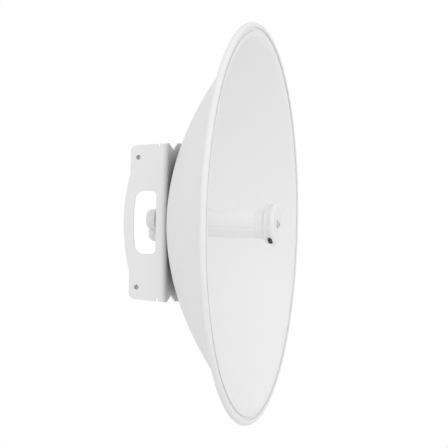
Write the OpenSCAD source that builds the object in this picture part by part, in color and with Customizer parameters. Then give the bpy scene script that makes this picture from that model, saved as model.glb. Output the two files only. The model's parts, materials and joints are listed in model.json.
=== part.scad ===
// Parabolic dish antenna with an offset rear bracket and a feed that turns in the dish's hub.
// Millimetres. +Z up, the dish looks along -Y, and the origin is the mouth of the upper threaded insert.

/* [Reflector] */
// Outside diameter over the rolled lip
rim_d = 650; // [620:10:680]
// Focal length of the paraboloid
focal_length = 175; // [172:1:186]
// Diameter of the flat centre that the bracket bolts to
flat_d = 154; // [152:2:160]
// Thickness of the reflector sheet
sheet_t = 2; // [1.5:0.5:2.5]
// Diameter of the rolled lip's section
lip_d = 11; // [10:1:12]

/* [Bracket] */
// Width of the web, from the side plate's outer face to the stiffening flange
bracket_w = 162; // [160:2:170]
// Height of the web
bracket_h = 255; // [245:5:265]
// Depth from the web's front face to the straight rear edge
bracket_depth = 60; // [58:1:64]
// Thickness of the bracket sheet
plate_t = 3; // [2.5:0.5:4]
// Depth of the stiffening flange on the side away from the side plate
stiffener_depth = 14; // [12:1:16]
// Outside radius of the two bends
bend_r = 8.5; // [8:0.5:11]
// Rise of the handle behind the straight rear edge
handle_rise = 10.2; // [9.2:0.5:12.2]
// Length of the hand hole
hand_l = 101; // [95:1:108]
// Spacing of the two threaded inserts in the side plate
insert_pitch = 208; // [200:2:214]
// Diameter of the inserts' bores
insert_d = 8; // [7.6:0.2:8.4]

/* [Feed] */
// Outside diameter of the feed tube
tube_d = 46; // [45:0.5:47]
// Diameter of the feed head
head_d = 65.2; // [64:0.4:68]
// Depth of the feed head
head_depth = 17.5; // [16.5:0.5:19]
// Reach of the head's front face ahead of the lip
head_reach = 45.2; // [44:0.2:50]
// Angle the feed can turn each way
turn_range = 45; // [30:5:45]

/* [Hidden] */
$fn = 72;
round_fn = 144;

// Reflector, as radius and depth behind the lip's centre.
lip_r = lip_d / 2;
lip_c = rim_d / 2 - lip_r;
flange_y = -(lip_r - 0.9);
edge_r = rim_d / 2 - 23;
flat_r = flat_d / 2;
apex_y = flange_y + sheet_t + pow(edge_r, 2) / (4 * focal_length);
web_y = apex_y - pow(flat_r, 2) / (4 * focal_length);
dish_steps = 18;

// Bracket.
web_rear = web_y + plate_t;
plate_rear = web_y + bracket_depth;
insert_y = plate_rear - 12.5;
insert_depth = 10;
insert_shank = 5.5;
insert_body = 6.3;
insert_l = 13;
taper = tan(3.8) * bracket_depth;
corner_r = 10.5;
handle_r = 308;
handle_c = plate_rear + handle_rise - handle_r;
handle_band = 16;
hand_front = web_y + 17;
hand_rear = plate_rear + handle_rise - handle_band;
hand_front_r = 7.3;
hand_rear_r = 14;
relief_y = web_y + 12;
relief_w = 3.4;
relief_h = 5.7;
notch_out = 68;
notch_in = 11;
notch_apex = 38.8;
notch_h = 11;

// Bolts that join the reflector and the bracket.
bolt_xy = 46;
bolt_r = 3.95;
bolt_hole_r = 4.25;
washer_t = 1.6;
spring_t = 2.2;
nut_h = 6.5;
nut_af = 13;

// Hub.
tube_r = tube_d / 2;
tube_in = tube_r - 2.5;
sleeve_r = tube_r + 4;
flange_r = 48;
hub_t = 6;
hub_rear = web_rear + hub_t;
ring_t = 5;
ring_front = web_y - sheet_t - ring_t;
ring_r = 50;
seal_t = 1.5;
hub_screw_r = 36;
clamp_r = 39.5;
clamp_shaft = 2.45;
clamp_angles = [90, 210, 330];

// Transducer behind the hub, which turns with the feed.
turn_gap = 0.3;
body_front = hub_rear + turn_gap;
body_flange = 5;
body_r = 27;
body_rear = body_front + 21.85;
socket_l = 8;
short_t = 3;
jack_y = body_front + 15.15;
pad_r = 28;
gasket_t = 0.5;
jack_s = 12.7;
jack_hole = 4.32;
jack_flange = 2.5;
jack_base = pad_r + gasket_t;
barrel_r = 3.2;
barrel_l = 9.5;
insulator_r = 2.05;
barrel_end = jack_base + jack_flange + barrel_l;
cap_r = 4.6;
cap_base = jack_base + jack_flange + 2;

// Rear cover.
cover_gasket = 1;
cover_front = body_rear + cover_gasket;
cover_plate = 2.5;
cover_rear = web_rear + 45.2;
cover_wall = 2;
lobes = [[-15.5, 4.5, 16], [3, -15.5, 15.5]];
lobe_round = 8;
cover_screw_angles = [85, -20, 225];
cover_screw_r = 24.4;

// Feed head, counted from its front face.
head_r = head_d / 2;
head_front = -head_reach;
head_rear = head_front + head_depth;
head_split = head_rear - 4.8;
head_wall = 2.8;
front_wall = 2.6;
neck_r = tube_r + 2.8;
neck_base = -12;
cone_r = 17.9;
steps_y = head_front + 9.2;
plug_angle = 55;
plug_y = head_front + 7.4;
key_angle = 22.7;

// Frames ------------------------------------------------------------------

// Moves the dish's own frame, centred on its axis at the lip, to the row's origin.
module placed() {
  translate([bracket_w / 2, -insert_y, -insert_pitch / 2]) children();
}

// Turns a profile drawn as [radius, depth] about the dish's axis.
module lathe(fn = $fn) {
  placed() rotate([-90, 0, 0]) rotate_extrude($fn = fn) children();
}

// A round rod along the dish's axis from depth y0 to depth y1.
module rod(r, y0, y1) {
  translate([0, y0, 0]) rotate([-90, 0, 0]) cylinder(r = r, h = y1 - y0);
}

// A ring about the dish's axis.
module ring_2d(inner, outer, y0, y1) {
  translate([inner, y0]) square([outer - inner, y1 - y0]);
}

// Copies along the axis at a radius and at angles counted from +X towards +Z.
module around(radius, angles) {
  for (a = angles) translate([radius * cos(a), 0, radius * sin(a)]) children();
}

// The four bolts that join the reflector and the bracket.
module at_bolts() {
  for (x = [-bolt_xy, bolt_xy], z = [-bolt_xy, bolt_xy]) translate([x, 0, z]) children();
}

// A jack's own frame: +Z runs outwards along the jack from the dish's axis.
module at_side_jack() {
  placed() translate([0, jack_y, 0]) rotate([0, 90, 0]) children();
}

module at_down_jack() {
  placed() translate([0, jack_y, 0]) rotate([180, 0, 0]) children();
}

// Reflector ---------------------------------------------------------------

function bowl_r(i) = flat_r + (edge_r - flat_r) * i / dish_steps;
function bowl_back(i) = [bowl_r(i), apex_y - pow(bowl_r(i), 2) / (4 * focal_length)];
function bowl_slope(i) = bowl_r(i) / (2 * focal_length);
function bowl_front(i) = bowl_back(i) - sheet_t / norm([bowl_slope(i), 1]) * [bowl_slope(i), 1];

module reflector_profile() {
  polygon(concat(
    [[sleeve_r + 0.3, web_y - sheet_t]],
    [for (i = [0:dish_steps]) bowl_front(i)],
    [[edge_r, flange_y], [lip_c - lip_r + 3, flange_y], [lip_c - lip_r + 3, flange_y + sheet_t]],
    [for (i = [dish_steps:-1:0]) bowl_back(i)],
    [[sleeve_r + 0.3, web_y]]
  ));
}

module lip_profile() {
  difference() {
    translate([lip_c, 0]) circle(r = lip_r, $fn = 36);
    translate([lip_c, 0]) circle(r = lip_r - sheet_t, $fn = 36);
    translate([lip_c - lip_r - 1, 0.6]) square([4, 2.4]);
  }
}

module reflector() {
  color("#f2f2f0") difference() {
    lathe(round_fn) {
      reflector_profile();
      lip_profile();
    }
    placed() {
      at_bolts() rod(bolt_hole_r, web_y - 20, web_y + 20);
      around(hub_screw_r, [45:90:315]) rod(2.75, web_y - 20, web_y + 20);
    }
  }
}

// Bracket -----------------------------------------------------------------

// The web and its two flanges seen from above: the side plate at -X runs on to the handle.
module bent_outline(inset) {
  half = bracket_w / 2 - inset;
  r = bend_r - inset;
  translate([-half, web_y + bend_r]) square([2 * half, bracket_depth + handle_rise]);
  translate([-half + r, web_y + inset]) square([2 * (half - r), bend_r]);
  for (s = [-1, 1]) translate([s * (half - r), web_y + bend_r]) circle(r = r);
}

module side_outline() {
  h0 = bracket_h / 2;
  h1 = h0 - taper;
  hull() {
    translate([web_y - 1, -h0]) square([1, 2 * h0]);
    for (s = [-1, 1]) translate([plate_rear - corner_r, s * (h1 - corner_r)]) circle(r = corner_r);
  }
  intersection() {
    translate([handle_c, 0]) circle(r = handle_r, $fn = 360);
    translate([plate_rear - 20, -bracket_h / 2 + 30]) square([60, bracket_h - 60]);
  }
}

// The hand hole's rear side runs parallel to the handle's outer edge.
module hand_hole() {
  inner_r = handle_r - handle_band;
  half = hand_l / 2 - hand_rear_r;
  bow = inner_r - sqrt(pow(inner_r, 2) - pow(half, 2));
  hull() for (s = [-1, 1]) {
    translate([hand_front + hand_front_r, s * (hand_l / 2 - hand_front_r)]) circle(r = hand_front_r);
    translate([hand_rear - bow - hand_rear_r, s * half]) circle(r = hand_rear_r);
  }
  intersection() {
    translate([handle_c, 0]) circle(r = inner_r, $fn = 360);
    translate([hand_rear - hand_rear_r, -half]) square([2 * hand_rear_r, 2 * half]);
  }
}

module notch(side) {
  polygon([[side * notch_out, bracket_h / 2 + 1], [side * notch_out, bracket_h / 2],
           [side * notch_apex, bracket_h / 2 - notch_h],
           [side * notch_in, bracket_h / 2], [side * notch_in, bracket_h / 2 + 1]]);
}

module bracket_blank() {
  intersection() {
    linear_extrude(bracket_h, center = true) difference() {
      bent_outline(0);
      bent_outline(plate_t);
      translate([0, web_y + stiffener_depth]) square([bracket_w, bracket_depth]);
    }
    rotate([90, 0, 90]) linear_extrude(bracket_w + 2, center = true) difference() {
      side_outline();
      hand_hole();
    }
  }
}

module at_inserts() {
  for (s = [-1, 1]) translate([-bracket_w / 2, insert_y, s * insert_pitch / 2]) rotate([0, 90, 0]) children();
}

module bracket() {
  color("#f4f4f2") placed() difference() {
    bracket_blank();
    at_inserts() cylinder(r = insert_shank, h = 2 * plate_t + 2, center = true);
    for (s = [-1, 1]) translate([-bracket_w / 2, relief_y + relief_w / 2, s * bracket_h / 2])
      cube([4 * plate_t, relief_w, 2 * relief_h], center = true);
    translate([0, web_y + 10, 0]) rotate([90, 0, 0]) linear_extrude(20)
      for (side = [-1, 1]) {
        notch(side);
        mirror([0, 1]) notch(side);
      }
    rod(sleeve_r + 0.3, web_y - 1, web_rear + 1);
    at_bolts() rod(bolt_hole_r, web_y - 1, web_rear + 1);
    around(hub_screw_r, [45:90:315]) rod(2.75, web_y - 1, web_rear + 1);
  }
}

// Closed-end inserts, pressed into the side plate from the inside and flush with its outer face.
module threaded_inserts() {
  color("#f4f4f2") placed() at_inserts() difference() {
    union() {
      cylinder(r = insert_shank - 0.02, h = insert_l);
      translate([0, 0, plate_t]) cylinder(r = insert_body, h = insert_l - plate_t);
    }
    translate([0, 0, -1]) cylinder(r = insert_d / 2, h = insert_depth + 1);
  }
}

// Bolts between the reflector and the bracket -------------------------------

module hex(af, y0, y1) {
  translate([0, y0, 0]) rotate([-90, 0, 0]) cylinder(r = af / 2 / cos(30), h = y1 - y0, $fn = 6);
}

module reflector_bolts() {
  seat = web_y - sheet_t;
  tip = web_rear + washer_t + spring_t + nut_h + 2.5;
  color("#c9cbcd") placed() at_bolts() {
    rod(bolt_r, seat - 1, tip);
    translate([0, seat, 0]) rotate([-90, 0, 0]) rotate_extrude()
      polygon(concat([[0, 0]], [for (a = [0:10:90]) [9 * cos(a), -1.4 - 3.2 * sin(a)]], [[0, -4.6]], [[0, 0]]));
    rod(9, seat - 1.4, seat);
  }
}

module flat_washers() {
  color("#c9cbcd") placed() at_bolts() difference() {
    rod(9, web_rear, web_rear + washer_t);
    rod(bolt_hole_r, web_rear - 1, web_rear + washer_t + 1);
  }
}

module spring_washers() {
  y0 = web_rear + washer_t;
  color("#b9bcbf") placed() at_bolts() difference() {
    rod(7.2, y0, y0 + spring_t);
    rod(bolt_hole_r, y0 - 1, y0 + spring_t + 1);
    translate([0, y0 - 1, -0.6]) cube([10, spring_t + 2, 1.2]);
  }
}

module hex_nuts() {
  y0 = web_rear + washer_t + spring_t;
  color("#c9cbcd") placed() at_bolts() difference() {
    intersection() {
      hex(nut_af, y0, y0 + nut_h);
      translate([0, y0, 0]) rotate([-90, 0, 0]) cylinder(r1 = 6.6, r2 = 6.6 + nut_h, h = nut_h);
      translate([0, y0, 0]) rotate([-90, 0, 0]) cylinder(r1 = 6.6 + nut_h, r2 = 6.6, h = nut_h);
    }
    rod(bolt_r + 0.05, y0 - 1, y0 + nut_h + 1);
  }
}

// Hub ----------------------------------------------------------------------

module front_ring() {
  color("#d9dbdc") difference() {
    lathe() polygon([
      [tube_r + 0.4, ring_front + 1.5], [tube_r + 0.4, ring_front], [ring_r - 2, ring_front],
      [ring_r, ring_front + 2], [ring_r, ring_front + ring_t],
      [sleeve_r + 0.1, ring_front + ring_t], [sleeve_r + 0.1, ring_front + 1.5]
    ]);
    placed() around(hub_screw_r, [45:90:315]) rod(2.75, ring_front - 1, ring_front + ring_t + 1);
  }
}

module tube_seal() {
  color("#2b2b2b") lathe() ring_2d(tube_r + 0.05, sleeve_r, ring_front + 1.5, ring_front + 1.5 + seal_t);
}

module hub_sleeve() {
  color("#cfd1d3") difference() {
    lathe() {
      ring_2d(tube_r + 0.05, sleeve_r, ring_front + 1.5 + seal_t, web_rear + 1);
      ring_2d(tube_r + 0.05, flange_r, web_rear, hub_rear);
    }
    placed() {
      around(hub_screw_r, [45:90:315]) rod(2.45, web_rear - 1, hub_rear + 1);
      around(clamp_r, clamp_angles) rod(clamp_shaft + 0.05, web_rear - 1, hub_rear + 1);
    }
  }
}

module hub_screws() {
  color("#c9cbcd") placed() around(hub_screw_r, [45:90:315]) difference() {
    union() {
      rod(2.4, ring_front - 1, hub_rear - 1);
      rod(4.5, ring_front - 2.8, ring_front);
    }
    hex(3, ring_front - 3, ring_front - 1);
  }
}

module clamp_screws() {
  seat = body_front + body_flange + turn_gap + 1;
  color("#c9cbcd") placed() around(clamp_r, clamp_angles) difference() {
    union() {
      rod(clamp_shaft, web_rear + 0.5, seat + 1);
      rod(4.25, seat, seat + 2.7);
    }
    hex(3, seat + 1, seat + 3);
  }
}

module clamp_washers() {
  y0 = body_front + body_flange + turn_gap;
  color("#b9bcbf") placed() around(clamp_r, clamp_angles) difference() {
    rod(5.5, y0, y0 + 1);
    rod(clamp_shaft + 0.1, y0 - 1, y0 + 2);
  }
}

// Feed tube and head ---------------------------------------------------------

module feed_tube() {
  color("#f1f1ef") {
    lathe(round_fn) ring_2d(tube_in, tube_r, neck_base, body_front + socket_l);
    placed() rotate([0, 180 - key_angle, 0]) translate([tube_r - 0.6, neck_base + 1, -2.8])
      cube([1.8, ring_front - neck_base - 5, 5.6]);
  }
}

module feed_neck() {
  color("#ececea") lathe(round_fn) polygon([
    [cone_r + 0.1, 4], [tube_in - 0.05, 4], [tube_in - 0.05, neck_base], [tube_r, neck_base],
    [tube_r + 0.4, -17], [tube_r + 1.3, -22], [neck_r, head_rear + 1.2], [neck_r, head_rear],
    [cone_r + 0.1, head_rear]
  ]);
}

module dielectric_cone() {
  color("#f7f7f2") lathe() polygon([
    [0, steps_y], [9.8, steps_y], [cone_r, head_rear - 0.5], [cone_r, 4], [3, 40], [0, 42]
  ]);
}

module sub_reflector() {
  back = head_front + front_wall + 0.2;
  color("#c4c8cb") difference() {
    lathe() polygon([
      [0, steps_y], [10, steps_y], [10, steps_y - 2], [18, steps_y - 2], [18, steps_y - 4],
      [27.3, steps_y - 4], [27.3, back], [0, back]
    ]);
    placed() rod(2, back - 1, back + 4.2);
  }
}

module head_shell() {
  r = 3.2;
  spigot = head_r - head_wall - 0.05;
  color("#f3f3f1") lathe(round_fn) polygon(concat(
    [[cone_r + 0.1, head_split], [cone_r + 0.1, head_rear]],
    [for (a = [90:-15:0]) [head_r - r + r * cos(a), head_rear - r + r * sin(a)]],
    [[head_r, head_split + 0.6], [head_r - 0.6, head_split], [spigot, head_split]],
    [[spigot, head_split - 1], [spigot - 1.2, head_split - 1], [spigot - 1.2, head_split - 2.4]],
    [[spigot, head_split - 2.4], [spigot, head_split - 3.2], [spigot - 2.4, head_split - 3.2]],
    [[spigot - 2.4, head_split + 2.2], [cone_r + 4, head_split + 2.2], [cone_r + 4, head_split]]
  ));
}

module head_cap_profile() {
  r = 3;
  difference() {
    polygon(concat(
      [[0, head_split], [head_r - 0.6, head_split], [head_r, head_split - 0.6]],
      [for (a = [0:-15:-90]) [head_r - r + r * cos(a), head_front + r + r * sin(a)]],
      [[head_r - 6, head_front], [head_r - 7, head_front + 0.8], [12, head_front + 0.8],
       [11, head_front], [6.5, head_front], [6, head_front + 1.2], [0, head_front + 1.2]]
    ));
    translate([-1, head_front + front_wall]) square([head_r - head_wall + 1, head_depth]);
    for (y = [head_split - 3.4, head_split - 6.2]) translate([head_r - 0.7, y]) square([2, 0.9]);
  }
}

// The drain slot's outline runs around the head, at plug_angle below the horizontal on the -X side.
module at_plug() {
  placed() translate([0, plug_y, 0]) rotate([0, 180 - plug_angle, 0]) rotate([0, 90, 0]) children();
}

module plug_outline(inset) {
  hull() for (s = [-1, 1]) translate([s * 3.6, 0]) circle(r = 3.5 - inset);
}

module head_cap() {
  color("#f3f3f1") difference() {
    lathe(round_fn) head_cap_profile();
    placed() rod(2.1, head_front - 1, head_front + front_wall + 1);
    at_plug() linear_extrude(head_r + 5) plug_outline(0);
  }
}

module head_seal() {
  spigot = head_r - head_wall - 0.05;
  color("#2b2b2b") lathe() ring_2d(spigot - 1.18, spigot + 0.04, head_split - 2.38, head_split - 1.02);
}

module head_screw() {
  y0 = head_front + 1.2;
  color("#8d9093") placed() difference() {
    union() {
      rod(1.95, y0, y0 + 5);
      rod(4.6, y0 - 4.4, y0);
    }
    hex(4, y0 - 4.5, y0 - 2.6);
  }
}

module drain_plug() {
  color("#262626") at_plug()
    translate([0, 0, head_r - head_wall + 0.05]) linear_extrude(head_wall + 0.5) plug_outline(0.05);
}

// Transducer -----------------------------------------------------------------

module arc_slots() {
  half = clamp_shaft + 0.4;
  for (a = clamp_angles) {
    for (s = [-1, 1]) around(clamp_r, [a + s * turn_range]) rod(half, body_front - 1, body_front + body_flange + 1);
    rotate([0, -a, 0]) intersection() {
      rotate([-90, 0, 0]) translate([0, 0, body_front - 1]) difference() {
        cylinder(r = clamp_r + half, h = body_flange + 2, $fn = round_fn);
        translate([0, 0, -1]) cylinder(r = clamp_r - half, h = body_flange + 4, $fn = round_fn);
      }
      rotate([90, 0, 0]) translate([0, 0, -body_front - body_flange - 2])
        linear_extrude(body_flange + 4)
          polygon([[0, 0], 70 * [cos(turn_range), sin(turn_range)], [99, 0], 70 * [cos(turn_range), -sin(turn_range)]]);
    }
  }
}

module jack_pads() {
  translate([0, jack_y - jack_s / 2 - 0.2, -jack_s / 2 - 0.5]) cube([pad_r, jack_s + 0.4, jack_s + 1]);
  translate([-jack_s / 2 - 0.5, jack_y - jack_s / 2 - 0.2, -pad_r]) cube([jack_s + 1, jack_s + 0.4, pad_r]);
}

module jack_holes() {
  cylinder(r = insulator_r + 0.05, h = pad_r + 1);
  for (x = [-1, 1], y = [-1, 1]) translate([x * jack_hole, y * jack_hole, pad_r - 3]) cylinder(r = 1.25, h = 4);
}

module transducer_body() {
  color("#dcdedf") difference() {
    union() {
      lathe(round_fn) {
        ring_2d(0, flange_r, body_front, body_front + body_flange);
        ring_2d(0, body_r, body_front, body_rear);
      }
      placed() jack_pads();
    }
    lathe(round_fn) {
      ring_2d(0, tube_r + 0.02, body_front - 1, body_front + socket_l);
      ring_2d(0, tube_in, body_front, body_rear + 1);
      ring_2d(0, tube_in + 1.5, body_rear - short_t, body_rear + 1);
    }
    placed() {
      arc_slots();
      around(cover_screw_r, cover_screw_angles) rod(1.6, body_rear - 7, body_rear + 1);
    }
    at_side_jack() jack_holes();
    at_down_jack() jack_holes();
  }
}

module backshort_plate() {
  color("#c4c8cb") lathe() ring_2d(0, tube_in + 1.45, body_rear - short_t, body_rear);
}

module cover_seal() {
  color("#d2d2d0") difference() {
    lathe() ring_2d(tube_in - 2, body_r, body_rear, cover_front);
    placed() around(cover_screw_r, cover_screw_angles) rod(1.7, body_rear - 1, cover_front + 1);
  }
}

module lobe(p, inset) {
  r = p[2] - inset;
  top = cover_rear - inset;
  q = lobe_round - inset;
  translate([p[0], 0, p[1]]) rotate([-90, 0, 0]) rotate_extrude($fn = 96)
    polygon(concat(
      [[0, cover_front]], [[r, cover_front]],
      [for (a = [0:10:90]) [r - q + q * cos(a), top - q + q * sin(a)]],
      [[0, top]]
    ));
}

module rear_cover() {
  color("#e9e9e6") difference() {
    union() {
      lathe() polygon([[0, cover_front], [body_r + 1, cover_front], [body_r + 1, cover_front + cover_plate - 0.8],
                       [body_r + 0.2, cover_front + cover_plate], [0, cover_front + cover_plate]]);
      placed() for (p = lobes) lobe(p, 0);
    }
    placed() {
      intersection() {
        for (p = lobes) lobe(p, cover_wall);
        rod(tube_in - 1, cover_front - 1, cover_rear);
      }
      around(cover_screw_r, cover_screw_angles) rod(1.75, cover_front - 1, cover_front + cover_plate + 1);
    }
  }
}

module cover_screws() {
  seat = cover_front + cover_plate;
  color("#c9cbcd") placed() around(cover_screw_r, cover_screw_angles) difference() {
    union() {
      rod(1.55, seat - 9, seat + 1);
      rod(3, seat, seat + 2.2);
    }
    translate([-0.45, seat + 1.2, -4]) cube([0.9, 2, 8]);
    translate([-4, seat + 1.2, -0.45]) cube([8, 2, 0.9]);
  }
}

// Coaxial jacks ---------------------------------------------------------------

module jack_square(z0, z1) {
  translate([-jack_s / 2, -jack_s / 2, z0]) cube([jack_s, jack_s, z1 - z0]);
}

module jack_gasket() {
  difference() {
    jack_square(pad_r, jack_base);
    translate([0, 0, pad_r - 1]) cylinder(r = insulator_r + 0.05, h = 2);
    for (x = [-1, 1], y = [-1, 1]) translate([x * jack_hole, y * jack_hole, pad_r - 1]) cylinder(r = 1.35, h = 3);
  }
}

module jack_gaskets() {
  color("#2b2b2b") {
    at_side_jack() jack_gasket();
    at_down_jack() jack_gasket();
  }
}

module jack_screw_set() {
  seat = jack_base + jack_flange;
  for (x = [-1, 1], y = [-1, 1]) translate([x * jack_hole, y * jack_hole, 0]) difference() {
    union() {
      translate([0, 0, pad_r - 2.5]) cylinder(r = 1.2, h = seat - pad_r + 3);
      translate([0, 0, seat]) cylinder(r1 = 2, r2 = 1.6, h = 1.4);
    }
    translate([-0.3, -3, seat + 0.8]) cube([0.6, 6, 1]);
  }
}

module jack_screws() {
  color("#c9cbcd") {
    at_side_jack() jack_screw_set();
    at_down_jack() jack_screw_set();
  }
}

module jack_body() {
  seat = jack_base + jack_flange;
  difference() {
    union() {
      jack_square(jack_base, seat);
      rotate_extrude() polygon(concat(
        [[0, seat - 1], [barrel_r - 0.3, seat - 1], [barrel_r - 0.3, seat + 2.8]],
        [for (i = [0:11]) [i % 2 == 0 ? barrel_r : barrel_r - 0.35, seat + 3 + i * 0.5]],
        [[barrel_r - 0.35, barrel_end - 0.5], [barrel_r - 0.8, barrel_end], [0, barrel_end]]
      ));
    }
    translate([0, 0, jack_base - 1]) cylinder(r = insulator_r + 0.05, h = barrel_l + jack_flange + 2);
    for (x = [-1, 1], y = [-1, 1]) translate([x * jack_hole, y * jack_hole, jack_base - 1]) cylinder(r = 1.3, h = 5);
  }
}

module jack_insulator() {
  difference() {
    translate([0, 0, tube_in + 1]) cylinder(r = insulator_r, h = barrel_end - 3 - tube_in - 1);
    translate([0, 0, tube_in]) cylinder(r = 0.7, h = barrel_end);
  }
}

module jack_pin() {
  translate([0, 0, 7.5]) cylinder(r = 0.64, h = barrel_end - 2 - 7.5);
  translate([0, 0, 6.5]) cylinder(r = 1.3, h = 8);
}

module dust_cap() {
  seat = cap_base;
  rotate_extrude() polygon(concat(
    [[barrel_r + 0.04, seat], [cap_r, seat], [cap_r, seat + 1.6], [cap_r - 0.5, seat + 1.6]],
    [for (i = [0:5]) [i % 2 == 0 ? cap_r - 0.5 : cap_r - 0.9, seat + 2 + i * 0.9]],
    [[cap_r - 0.5, barrel_end + 1.4], [cap_r - 1.3, barrel_end + 2.2], [0, barrel_end + 2.2],
     [0, barrel_end + 0.4], [barrel_r + 0.04, barrel_end + 0.4]]
  ));
}

module side_jack_body() { color("#b99a55") at_side_jack() jack_body(); }
module side_jack_insulator() { color("#fbfbf8") at_side_jack() jack_insulator(); }
module side_jack_pin() { color("#d0a94e") at_side_jack() jack_pin(); }
module down_jack_body() { color("#b99a55") at_down_jack() jack_body(); }
module down_jack_insulator() { color("#fbfbf8") at_down_jack() jack_insulator(); }
module down_jack_pin() { color("#d0a94e") at_down_jack() jack_pin(); }
module side_dust_cap() { color("#2b2b2b") at_side_jack() dust_cap(); }
module down_dust_cap() { color("#2b2b2b") at_down_jack() dust_cap(); }

// Nodes -----------------------------------------------------------------------

reflector();
bracket();
threaded_inserts();
front_ring();
hub_sleeve();
tube_seal();
hub_screws();
reflector_bolts();
flat_washers();
spring_washers();
hex_nuts();
clamp_screws();
clamp_washers();
feed_tube();
feed_neck();
dielectric_cone();
sub_reflector();
head_shell();
head_cap();
head_seal();
head_screw();
drain_plug();
transducer_body();
backshort_plate();
cover_seal();
rear_cover();
cover_screws();
jack_gaskets();
jack_screws();
side_jack_body();
side_jack_insulator();
side_jack_pin();
down_jack_body();
down_jack_insulator();
down_jack_pin();
side_dust_cap();
down_dust_cap();
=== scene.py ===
import json
import math

import bmesh
import bpy
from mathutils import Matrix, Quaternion, Vector


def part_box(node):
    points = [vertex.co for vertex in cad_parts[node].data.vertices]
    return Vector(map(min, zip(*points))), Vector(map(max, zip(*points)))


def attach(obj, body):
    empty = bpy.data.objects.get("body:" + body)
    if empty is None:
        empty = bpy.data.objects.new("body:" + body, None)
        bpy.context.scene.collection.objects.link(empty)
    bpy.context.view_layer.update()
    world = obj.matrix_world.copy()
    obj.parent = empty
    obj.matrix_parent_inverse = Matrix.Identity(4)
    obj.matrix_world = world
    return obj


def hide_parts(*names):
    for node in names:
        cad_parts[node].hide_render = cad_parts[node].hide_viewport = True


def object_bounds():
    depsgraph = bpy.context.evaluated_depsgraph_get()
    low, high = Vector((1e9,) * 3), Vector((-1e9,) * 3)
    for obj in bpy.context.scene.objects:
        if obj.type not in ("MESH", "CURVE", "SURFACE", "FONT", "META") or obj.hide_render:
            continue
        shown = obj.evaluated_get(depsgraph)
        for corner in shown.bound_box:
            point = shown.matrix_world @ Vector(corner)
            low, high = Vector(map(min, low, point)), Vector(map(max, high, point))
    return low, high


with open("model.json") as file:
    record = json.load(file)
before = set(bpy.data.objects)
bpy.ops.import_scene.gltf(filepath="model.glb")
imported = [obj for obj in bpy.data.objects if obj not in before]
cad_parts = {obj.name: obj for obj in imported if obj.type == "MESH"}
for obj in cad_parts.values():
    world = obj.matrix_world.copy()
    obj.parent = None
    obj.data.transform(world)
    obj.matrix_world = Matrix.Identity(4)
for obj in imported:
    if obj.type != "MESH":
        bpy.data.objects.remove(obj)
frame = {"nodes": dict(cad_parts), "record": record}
cad_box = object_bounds()


# Sizes and places, in metres -----------------------------------------------------

MM = 0.001
reflector_lo, reflector_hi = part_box("reflector")
rim_r = (reflector_hi.z - reflector_lo.z) / 2
lip_r = 5.5 * MM
sheet = 2 * MM
lip_centre_r = rim_r - lip_r
# Where the dish's axis crosses the plane of the lip's centre
centre = Vector((
    (reflector_lo.x + reflector_hi.x) / 2,
    reflector_lo.y + lip_r,
    (reflector_lo.z + reflector_hi.z) / 2,
))
axis_place = (centre.x, 0, centre.z)


def depth_of(y):
    """Depth behind the lip's centre of a place given along the frame's Y."""
    return y - centre.y


# Materials -----------------------------------------------------------------------

SAMPLES = 6
WHITE = (0.88, 0.88, 0.88)
# Painted light: a lighter copy of WHITE that lifts the feed tube out of the bowl's shade and the insert
# bores out of theirs.
SHADE_LIFTED_WHITE = (0.93, 0.93, 0.93)
# Dust and painted shade: the colour laid into corners within a few millimetres.
DUST_AND_SHADE = (0.40, 0.38, 0.34)
# Painted shade: the grey laid into wide gaps, such as between the bracket's web and the dish's back.
PAINTED_SHADE_GREY = (0.36, 0.36, 0.355)
# Painted shade: the brown laid into corners and gaps of mouldings.
PAINTED_SHADE_BROWN = (0.36, 0.35, 0.33)


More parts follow.
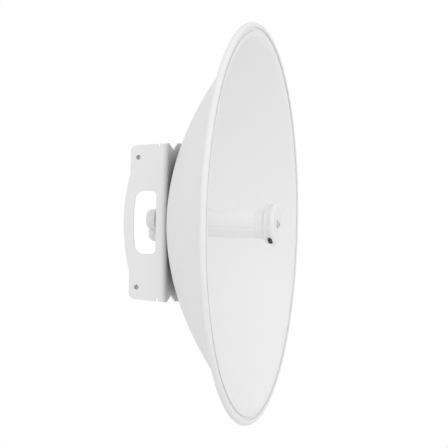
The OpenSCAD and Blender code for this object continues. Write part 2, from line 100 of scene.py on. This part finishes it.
class Graph:
    """One material's nodes. An input is a plain value or another node's socket.

    The lumps of a noise of scale 100 are about 10 mm across.
    """

    def __init__(self, name, colour, rough, metallic=0.0):
        self.material = bpy.data.materials.new(name)
        self.material.use_nodes = True
        self.tree = self.material.node_tree
        self.shader = self.tree.nodes["Principled BSDF"]
        self.colour = (*colour, 1)
        self.fill(self.shader, {"Base Color": self.colour, "Roughness": rough, "Metallic": metallic})
        self.place = self.node("TexCoord").outputs["Object"]

    def fill(self, node, inputs):
        for key, value in inputs.items():
            if isinstance(value, bpy.types.NodeSocket):
                self.tree.links.new(value, node.inputs[key])
            else:
                node.inputs[key].default_value = value

    def node(self, kind, inputs=None, **settings):
        node = self.tree.nodes.new("ShaderNode" + kind)
        for key, value in settings.items():
            setattr(node, key, value)
        self.fill(node, inputs or {})
        return node

    def vector(self, operation, a, b=(0, 0, 0), output="Vector"):
        return self.node("VectorMath", {0: a, 1: b}, operation=operation).outputs[output]

    def noise(self, scale, detail=2.0, place=None, lumps=0.5):
        place = self.place if place is None else place
        values = {"Vector": place, "Scale": scale, "Detail": detail, "Roughness": lumps}
        return self.node("TexNoise", values).outputs["Fac"]

    def stretched(self, x, y, z):
        """The surface's place, scaled along each axis, so that noise on it runs in streaks."""
        return self.vector("MULTIPLY", self.place, (x, y, z))

    def turned(self):
        """The distance from the dish's axis as a place, so that noise on it runs in rings."""
        moved = self.vector("SUBTRACT", self.place, axis_place)
        flat = self.vector("MULTIPLY", moved, (1, 0, 1))
        distance = self.vector("LENGTH", flat, output="Value")
        return self.node("CombineXYZ", {"X": distance}).outputs["Vector"]

    def remap(self, value, low, high, to_low=0.0, to_high=1.0):
        values = {"Value": value, "From Min": low, "From Max": high, "To Min": to_low, "To Max": to_high}
        return self.node("MapRange", values, clamp=True).outputs["Result"]

    def times(self, a, b):
        return self.node("Math", {0: a, 1: b}, operation="MULTIPLY").outputs["Value"]

    def edges(self, width):
        """1 along outer and inner edges, 0 on open faces."""
        hardly_turned = 0.985
        well_turned = 0.80
        rounded = self.node("Bevel", {"Radius": width}, samples=SAMPLES).outputs["Normal"]
        true = self.node("NewGeometry").outputs["Normal"]
        agreement = self.vector("DOT_PRODUCT", rounded, true, output="Value")
        return self.remap(agreement, hardly_turned, well_turned)

    def corners(self, reach):
        """1 deep in a gap or corner, 0 on open faces."""
        nearly_open = 0.75
        nearly_closed = 0.25
        open_sky = self.node("AmbientOcclusion", {"Distance": reach}, samples=SAMPLES).outputs["AO"]
        return self.remap(open_sky, nearly_open, nearly_closed)

    def blend(self, amount, colour):
        """Mixes a colour into the shader's base colour."""
        socket = self.shader.inputs["Base Color"]
        before = socket.links[0].from_socket if socket.is_linked else self.colour
        mix = self.node("Mix", {0: amount, 6: before, 7: (*colour, 1)}, data_type="RGBA")
        self.tree.links.new(mix.outputs[2], socket)

    def stain(self, value, low, high, amount, colour):
        """Mixes in a colour where a value is high, and none of it where the value is low."""
        self.blend(self.remap(value, low, high, 0.0, amount), colour)

    def rub(self, width, amount, colour):
        """Mixes in a colour along edges."""
        self.blend(self.times(self.edges(width), amount), colour)

    def add_dust_and_shade(self, reach, amount, colour):
        """Mixes in a colour in gaps and corners, where shade falls: painted shade, with dust in some uses.
        """
        self.blend(self.times(self.corners(reach), amount), colour)

    def vary_roughness(self, value, low, high):
        """Lets the roughness run from low to high over the middle of a noise's range."""
        self.fill(self.shader, {"Roughness": self.remap(value, 0.3, 0.7, low, high)})

    def relief(self, height, distance, strength=1.0):
        """Adds a bump of a height in metres on top of those already there."""
        socket = self.shader.inputs["Normal"]
        values = {"Height": height, "Distance": distance, "Strength": strength}
        if socket.is_linked:
            values["Normal"] = socket.links[0].from_socket
        self.tree.links.new(self.node("Bump", values).outputs["Normal"], socket)


def shade(colour, factor):
    return tuple(channel * factor for channel in colour)


def coated(name, colour, rough, peel=520.0, peel_depth=0.05 * MM, gap_shade=0.45):
    """Powder coat or paint: orange peel, a slight cloud, pinholes, thin edges, dust and painted shade in
    corners, and painted shade in wide gaps.
    """
    g = Graph(name, colour, rough)
    warm = (colour[0], colour[1] * 0.997, colour[2] * 0.985)
    worn = 0.30
    g.stain(g.noise(7, 4), 0.35, 0.65, amount=0.30, colour=shade(colour, 0.965))
    g.stain(g.noise(90, 3), 0.55, 0.75, amount=0.25, colour=warm)
    pinholes = g.remap(g.noise(1900, 0), 0.73, 0.78, 0.0, 0.30)
    g.blend(pinholes, shade(colour, 0.55))
    patches = g.remap(g.noise(260, 4, lumps=0.65), 0.42, 0.62)
    g.blend(g.times(g.times(g.edges(0.7 * MM), patches), worn), shade(colour, 0.62))
    # Dust and painted shade in corners within 6 mm.
    g.add_dust_and_shade(6 * MM, amount=0.16, colour=DUST_AND_SHADE)
    # Painted shade: greys gaps up to 50 mm wide, such as between the web and the dish, by the amount
    # given.
    g.add_dust_and_shade(50 * MM, amount=gap_shade, colour=PAINTED_SHADE_GREY)
    g.vary_roughness(g.noise(45, 3), rough - 0.05, rough + 0.08)
    g.relief(g.noise(peel, 1), peel_depth)
    g.relief(g.noise(peel * 5, 1), peel_depth * 0.15)
    g.relief(pinholes, -0.03 * MM)
    return g.material


def moulded(name, colour, rough, flow=0.15, reach=4 * MM, gap_shade=0.20):
    """Injection-moulded plastic: a spark-eroded grain, flow streaks, rubbed edges and painted shade in
    corners and gaps.
    """
    g = Graph(name, colour, rough)
    streaks = g.noise(9, 4, g.stretched(1.0, 0.18, 1.0))
    g.stain(streaks, 0.35, 0.70, amount=flow, colour=shade(colour, 0.93))
    g.stain(g.noise(320, 2), 0.62, 0.74, amount=0.12, colour=shade(colour, 0.85))
    g.rub(0.5 * MM, amount=0.25, colour=shade(colour, 1.06))
    # Painted shade in corners and gaps within the reach, by the amount given.
    g.add_dust_and_shade(reach, amount=gap_shade, colour=PAINTED_SHADE_BROWN)
    g.vary_roughness(g.noise(120, 3), rough - 0.06, rough + 0.08)
    g.relief(g.noise(1500, 2, lumps=0.7), 0.025 * MM)
    g.relief(g.noise(60, 2), 0.10 * MM, strength=0.5)
    return g.material


def cast(name, colour, rough):
    """Bead-blasted casting: close pits over a slow wave, with painted shade where it is hollow."""
    g = Graph(name, colour, rough, metallic=1.0)
    pits = g.node("TexVoronoi", {"Vector": g.place, "Scale": 1100.0}).outputs["Distance"]
    g.stain(g.noise(70, 4), 0.35, 0.70, amount=0.45, colour=shade(colour, 0.82))
    g.rub(0.5 * MM, amount=0.6, colour=shade(colour, 1.12))
    # Painted shade in hollows within 4 mm.
    g.add_dust_and_shade(4 * MM, amount=0.35, colour=(0.16, 0.155, 0.15))
    g.vary_roughness(g.noise(150, 3), rough - 0.08, rough + 0.10)
    g.relief(pits, 0.05 * MM)
    g.relief(g.noise(240, 3), 0.06 * MM)
    return g.material


def turned_metal(name, colour, rough):
    """Lathe-turned metal: fine rings about the dish's axis, and a few scratches across them."""
    g = Graph(name, colour, rough, metallic=1.0)
    tool_marks = g.noise(5200, 2, g.turned())
    scratches = g.noise(700, 2, g.stretched(1.0, 0.1, 0.05))
    g.stain(tool_marks, 0.35, 0.65, amount=0.35, colour=shade(colour, 0.84))
    g.stain(g.noise(60, 4), 0.5, 0.75, amount=0.30, colour=shade(colour, 0.78))
    # Painted shade in corners within 3 mm.
    g.add_dust_and_shade(3 * MM, amount=0.5, colour=(0.14, 0.13, 0.12))
    g.vary_roughness(tool_marks, rough - 0.06, rough + 0.10)
    g.relief(tool_marks, 0.02 * MM)
    g.relief(g.remap(scratches, 0.68, 0.74), -0.02 * MM, strength=0.6)
    return g.material


def fastener(name, colour, rough, tint, tinted):
    """Plated or stainless fasteners: drawn streaks, a cloudy tint, rubbed, brighter corners and painted
    shade in hollows.
    """
    g = Graph(name, colour, rough, metallic=1.0)
    streaks = g.noise(900, 3, g.stretched(1.0, 0.06, 1.0))
    g.stain(g.noise(130, 4), 0.40, 0.68, amount=tinted, colour=tint)
    g.stain(streaks, 0.40, 0.70, amount=0.30, colour=shade(colour, 0.80))
    g.rub(0.35 * MM, amount=0.6, colour=shade(colour, 1.15))
    # Painted shade in hollows within 2.5 mm.
    g.add_dust_and_shade(2.5 * MM, amount=0.25, colour=(0.12, 0.11, 0.10))
    g.vary_roughness(g.noise(420, 3), rough - 0.07, rough + 0.12)
    g.relief(streaks, 0.012 * MM)
    return g.material


def plated(name, colour, rough):
    """Gold over brass: a soft cloud of tarnish and fine handling marks."""
    g = Graph(name, colour, rough, metallic=1.0)
    g.stain(g.noise(420, 4), 0.45, 0.70, amount=0.45, colour=(0.52, 0.36, 0.16))
    g.add_dust_and_shade(1.5 * MM, amount=0.6, colour=(0.20, 0.12, 0.05))
    g.vary_roughness(g.noise(900, 2), rough - 0.05, rough + 0.12)
    g.relief(g.noise(2600, 2), 0.006 * MM)
    return g.material


def dielectric(name, colour, rough):
    """Turned white dielectric: waxy, with faint tool rings."""
    g = Graph(name, colour, rough)
    depth = {"Subsurface Weight": 0.15, "Subsurface Radius": (1.0, 0.9, 0.8), "Subsurface Scale": 1.5 * MM}
    g.fill(g.shader, depth)
    rings = g.noise(4200, 1, g.turned())
    g.stain(g.noise(150, 3), 0.40, 0.70, amount=0.35, colour=shade(colour, 0.93))
    g.vary_roughness(rings, rough - 0.05, rough + 0.08)
    g.relief(rings, 0.015 * MM)
    return g.material


def rubber(name, colour, rough, bloom):
    """Moulded rubber with a chalky bloom, strongest along its edges."""
    g = Graph(name, colour, rough)
    g.stain(g.noise(210, 4), 0.45, 0.75, amount=0.35, colour=bloom)
    g.rub(0.4 * MM, amount=0.4, colour=shade(bloom, 1.4))
    g.vary_roughness(g.noise(500, 3), rough - 0.08, rough + 0.12)
    g.relief(g.noise(1700, 2, lumps=0.7), 0.03 * MM)
    return g.material


materials = {
    "white_powder_coat": coated("white_powder_coat", WHITE, 0.42),
    # Painted light: the tube's paint is the lifted white, with no gap shade.
    "tube_paint": coated("tube_paint", SHADE_LIFTED_WHITE, 0.40, peel=800.0, peel_depth=0.03 * MM, gap_shade=0.0),
    "white_moulding": moulded("white_moulding", WHITE, 0.42),
    # Painted shade: the neck's grey band where it meets the tube and head comes from darkening gaps within
    # 26 mm. Its lighter white is painted light against that shade.
    "neck_moulding": moulded(
        "neck_moulding", (0.92, 0.92, 0.92), 0.50, flow=0.25, reach=26 * MM, gap_shade=0.9),
    "cover_moulding": moulded("cover_moulding", (0.88, 0.88, 0.875), 0.50),
    "cast_aluminium": cast("cast_aluminium", (0.80, 0.81, 0.82), 0.42),
    "turned_aluminium": turned_metal("turned_aluminium", (0.78, 0.79, 0.80), 0.30),
    "stainless": fastener("stainless", (0.82, 0.82, 0.815), 0.28, tint=(0.72, 0.71, 0.68), tinted=0.4),
    "zinc_steel": fastener("zinc_steel", (0.62, 0.64, 0.66), 0.36, tint=(0.60, 0.58, 0.44), tinted=0.6),
    "gold_plate": plated("gold_plate", (0.85, 0.62, 0.28), 0.24),
    "ptfe": dielectric("ptfe", (0.86, 0.86, 0.84), 0.38),
    "black_rubber": rubber("black_rubber", (0.028, 0.028, 0.029), 0.62, bloom=(0.11, 0.11, 0.105)),
    "grey_silicone": rubber("grey_silicone", (0.60, 0.60, 0.59), 0.50, bloom=(0.66, 0.66, 0.65)),
    # Painted light: the inserts' coat is the lifted white, with no gap shade, so their bores stay light.
    "insert_coat": coated("insert_coat", SHADE_LIFTED_WHITE, 0.45, gap_shade=0.0),
}
slot_of = {entry["node"]: entry["material_slot"] for entry in frame["record"]["subparts"]}
for node_name, slot_name in slot_of.items():
    for slot in frame["nodes"][node_name].material_slots:
        slot.material = materials[slot_name]


# Pieces --------------------------------------------------------------------------

def piece(name, body, node, verts, faces, sharp):
    """A new mesh that rides on a body and stands for a CAD node, in that node's finish."""
    mesh = bpy.data.meshes.new(name)
    mesh.from_pydata([tuple(v) for v in verts], [], faces)
    work = bmesh.new()
    work.from_mesh(mesh)
    bmesh.ops.recalc_face_normals(work, faces=work.faces)
    work.to_mesh(mesh)
    work.free()
    finish(bpy.data.objects.new(name, mesh), body, node, sharp)


def finish(obj, body, node, sharp):
    """Shades an object smooth up to a sharp angle in degrees, gives it its body and its node's finish, and
    hides the node.
    """
    obj.data.shade_smooth()
    obj.data.set_sharp_from_angle(angle=math.radians(sharp))
    obj.data.materials.clear()
    obj.data.materials.append(materials[slot_of[node]])
    bpy.context.collection.objects.link(obj)
    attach(obj, body)
    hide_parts(node)


def ring_place(radius, depth, angle):
    """A place given by its distance from the dish's axis, its depth and its angle from +X towards +Z."""
    return centre + Vector((radius * math.cos(angle), depth, radius * math.sin(angle)))


def loops(rings):
    """Quads over a list of closed rings, the last of which joins the first, and their corners."""
    size = len(rings[0])
    verts = [corner for ring in rings for corner in ring]
    faces = []
    for i in range(len(rings)):
        j = (i + 1) % len(rings)
        for k in range(size):
            after = (k + 1) % size
            faces.append((i * size + k, i * size + after, j * size + after, j * size + k))
    return verts, faces


def arc(radius, depth, size, start, end, steps):
    """Points on a circle in the plane of radius and depth, with angles in degrees."""
    points = []
    for i in range(steps + 1):
        angle = math.radians(start + (end - start) * i / steps)
        points.append((radius + size * math.cos(angle), depth + size * math.sin(angle)))
    return points


def smooth_step(value, low, high):
    t = min(max((value - low) / (high - low), 0), 1)
    return t * t * (3 - 2 * t)


def make_reflector():
    """The spun sheet: flat centre, bowl, flange with a channel pressed beside the lip, and rolled lip."""
    flange = -4.6 * MM
    edge_r = rim_r - 23 * MM
    flat_r = 77 * MM
    web = depth_of(reflector_hi.y)
    focus = (edge_r ** 2 - flat_r ** 2) / (4 * (web - flange - sheet))
    apex = web + flat_r ** 2 / (4 * focus)
    hub_r = 27.3 * MM
    fold = 3 * MM
    bowl_steps = 64
    lip_steps = 40
    curl_steps = 32
    turn_steps = 360

    def bowl(radius, inset):
        """A point on the paraboloid's back, moved forward through the sheet by an inset."""
        slope = radius / (2 * focus)
        length = math.hypot(slope, 1)
        return (radius - inset * slope / length, apex - radius ** 2 / (4 * focus) - inset / length)

    bowl_end = edge_r - 2 * MM
    radii = [flat_r + (bowl_end - flat_r) * i / bowl_steps for i in range(bowl_steps + 1)]
    flat_front = [(hub_r, web - sheet), (flat_r - fold, web - sheet)]
    bend_front = [(edge_r + 0.6 * MM, flange + 0.25 * MM), (edge_r + 1.6 * MM, flange)]
    bend_back = [(edge_r + 2.6 * MM, flange + sheet), (edge_r + 1.2 * MM, flange + sheet + 0.3 * MM)]
    flat_back = [(flat_r - fold, web), (hub_r, web)]

    crease_r = lip_centre_r - math.sqrt(lip_r ** 2 - flange ** 2)
    channel_r = lip_centre_r - 9 * MM
    channel_h = 1.7 * MM
    channel_sheet = 1.2 * MM
    channel_front = flange + channel_h
    channel_back = flange + channel_h + channel_sheet
    pressed_front = [(channel_r, flange), (channel_r + 0.3 * MM, channel_front)]
    pressed_front += [(crease_r - 0.15 * MM, channel_front)]
    pressed_back = [(crease_r, channel_back), (channel_r - 0.9 * MM, channel_back)]
    pressed_back += [(channel_r - 1.5 * MM, flange + sheet)]

    roll_end = 186
    roll_start = -180 - math.degrees(math.asin(flange / lip_r))
    curl_end = -180 - math.degrees(math.asin((flange + sheet) / (lip_r - sheet)))
    lip = arc(lip_centre_r, 0, lip_r, roll_start, roll_end, lip_steps)
    curl = arc(lip_centre_r, 0, lip_r - sheet, roll_end, curl_end, curl_steps)

    profile = flat_front + [bowl(radius, sheet) for radius in radii] + bend_front + pressed_front
    profile += lip + curl
    profile += pressed_back + bend_back + [bowl(radius, 0) for radius in reversed(radii)] + flat_back
    turns = [2 * math.pi * i / turn_steps for i in range(turn_steps)]
    rings = [[ring_place(radius, depth, turn) for turn in turns] for radius, depth in profile]
    piece("dish_reflector", "dish", "reflector", *loops(rings), sharp=50)


def make_feed_tube():
    """The feed tube, with a flat rib between two fine grooves along its -X side, low down."""
    lo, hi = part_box("feed_tube")
    start, end = depth_of(lo.y), depth_of(hi.y)
    tube_r = (hi.z - lo.z) / 2
    inner_r = tube_r - 2.5 * MM
    chamfer = 0.4 * MM
    rib_tilt = 22.7
    rib_angle = math.radians(180 + rib_tilt)
    rib_half = 2.9 * MM
    rib_top = rib_half - 0.3 * MM
    rib_foot = rib_half + 0.15 * MM
    rib_h = 0.9 * MM
    groove_at = rib_half + 0.55 * MM
    groove_w = 0.32 * MM
    groove_h = 0.4 * MM
    rib_start = start + 1.5 * MM
    rib_end = depth_of(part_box("front_ring")[0].y) - 4 * MM
    run_out = 1.5 * MM
    run_steps = 4
    turn_steps = 720

    def outer(angle, along):
        """The tube's outer radius at an angle and a depth."""
        off = abs((angle - rib_angle + math.pi) % (2 * math.pi) - math.pi) * tube_r
        rib = rib_h * (1 - smooth_step(off, rib_top, rib_foot))
        groove = groove_h * math.exp(-((off - groove_at) / groove_w) ** 2)
        ends = smooth_step(along, rib_start, rib_start + run_out)
        ends *= 1 - smooth_step(along, rib_end - run_out, rib_end)
        return tube_r + (rib - groove) * ends

    places = [start + chamfer, rib_start]
    places += [rib_start + run_out * i / run_steps for i in range(1, run_steps + 1)]
    places += [rib_end - run_out * i / run_steps for i in range(run_steps, -1, -1)]
    places += [end - chamfer]
    turns = [2 * math.pi * i / turn_steps for i in range(turn_steps)]
    rings = [[ring_place(inner_r, start, turn) for turn in turns]]
    rings += [[ring_place(tube_r - chamfer, start, turn) for turn in turns]]
    rings += [[ring_place(outer(turn, along), along, turn) for turn in turns] for along in places]
    rings += [[ring_place(tube_r - chamfer, end, turn) for turn in turns]]
    rings += [[ring_place(inner_r, end, turn) for turn in turns]]
    piece("feed_pipe", "feed", "feed_tube", *loops(rings), sharp=30)


def make_rear_cover():
    """The two-lobed cover, with the soft fillets of a moulding where its lobes and plate meet."""
    cover = bpy.data.objects.new("cover_shell", frame["nodes"]["rear_cover"].data.copy())
    bpy.context.collection.objects.link(cover)
    remesh = cover.modifiers.new("remesh", "REMESH")
    remesh.mode = "VOXEL"
    remesh.voxel_size = 0.55 * MM
    soften = cover.modifiers.new("soften", "SMOOTH")
    soften.factor = 0.5
    soften.iterations = 5
    mesh = bpy.data.meshes.new_from_object(cover.evaluated_get(bpy.context.evaluated_depsgraph_get()))
    bpy.data.objects.remove(cover)
    finish(bpy.data.objects.new("cover_shell", mesh), "feed", "rear_cover", sharp=60)


def round_edges(node_name, width, segments=2):
    """Breaks the sharp edges of a CAD node."""
    bevel = frame["nodes"][node_name].modifiers.new("edges", "BEVEL")
    bevel.width = width
    bevel.segments = segments
    bevel.limit_method = "ANGLE"
    bevel.angle_limit = math.radians(40)
    bevel.harden_normals = True


make_reflector()
make_feed_tube()
make_rear_cover()
round_edges("bracket", 0.45 * MM, segments=3)
edge_widths = {
    "front_ring": 0.3 * MM,
    "hub_sleeve": 0.3 * MM,
    "transducer_body": 0.35 * MM,
    "flat_washers": 0.2 * MM,
    "clamp_washers": 0.12 * MM,
    "threaded_inserts": 0.15 * MM,
}
for node_name, width in edge_widths.items():
    round_edges(node_name, width)


# Stage ---------------------------------------------------------------------------

def make_floor(below):
    """A wide pale floor that reads as pure white, as in a product photograph."""
    bpy.ops.mesh.primitive_plane_add(size=80, location=(0, 0, cad_box[0].z - below))
    floor = bpy.context.object
    floor.name = "floor"
    g = Graph("floor", (0.85, 0.85, 0.85), 0.9)
    glow = g.node("Emission", {"Color": (1, 1, 1, 1), "Strength": 1.0})
    seen = g.node("LightPath").outputs["Is Camera Ray"]
    mix = g.node("MixShader", {0: seen, 1: g.shader.outputs[0], 2: glow.outputs[0]})
    output = g.tree.nodes["Material Output"]
    g.tree.links.new(mix.outputs[0], output.inputs["Surface"])
    floor.data.materials.append(g.material)


def make_world(light):
    """A white surround that lights the object with less than it shows."""
    world = bpy.data.worlds.new("studio")
    bpy.context.scene.world = world
    world.use_nodes = True
    nodes = world.node_tree.nodes
    strength = nodes.new("ShaderNodeMapRange")
    strength.inputs["To Min"].default_value = light
    strength.inputs["To Max"].default_value = 1.0
    seen = nodes.new("ShaderNodeLightPath")
    world.node_tree.links.new(seen.outputs["Is Camera Ray"], strength.inputs["Value"])
    world.node_tree.links.new(strength.outputs["Result"], nodes["Background"].inputs["Strength"])
    nodes["Background"].inputs["Color"].default_value = (1, 1, 1, 1)


def direction(azimuth, elevation):
    """Unit vector from the object towards an azimuth and an elevation in degrees."""
    az = math.radians(azimuth)
    el = math.radians(elevation)
    return Vector((math.sin(az) * math.cos(el), -math.cos(az) * math.cos(el), math.sin(el)))


def make_light(name, azimuth, elevation, strength, spread):
    """A soft distant light. Its spread is in degrees."""
    data = bpy.data.lights.new(name, "SUN")
    data.energy = strength * math.pi
    data.angle = math.radians(spread)
    light = bpy.data.objects.new(name, data)
    light.rotation_euler = direction(azimuth, elevation).to_track_quat("Z", "Y").to_euler()
    bpy.context.collection.objects.link(light)


def make_camera(azimuth, elevation, roll, distance, lens, aside, above):
    """Aims beside and above the lip's centre by metres across and up the picture."""
    back = direction(azimuth, elevation)
    look = (-back).to_track_quat("-Z", "Y") @ Quaternion((0, 0, 1), math.radians(roll))
    aim = centre + look @ Vector((aside, above, 0))
    data = bpy.data.cameras.new("camera")
    data.lens = lens
    data.clip_end = 200
    camera = bpy.data.objects.new("camera", data)
    camera.rotation_mode = "QUATERNION"
    camera.rotation_quaternion = look
    camera.location = aim + back * distance
    bpy.context.collection.objects.link(camera)
    bpy.context.scene.camera = camera


make_floor(below=0.30)
make_world(light=0.83)
make_light("key", azimuth=-76, elevation=5, strength=0.13, spread=60)
make_light("front", azimuth=0, elevation=10, strength=0.10, spread=60)
make_light("top", azimuth=-60, elevation=60, strength=0.07, spread=60)
make_camera(
    azimuth=-76.27,
    elevation=0.7,
    roll=0.95,
    distance=9.0,
    lens=449.3,
    aside=-0.0422,
    above=-0.0003,
)
bpy.context.scene.view_settings.view_transform = "Standard"
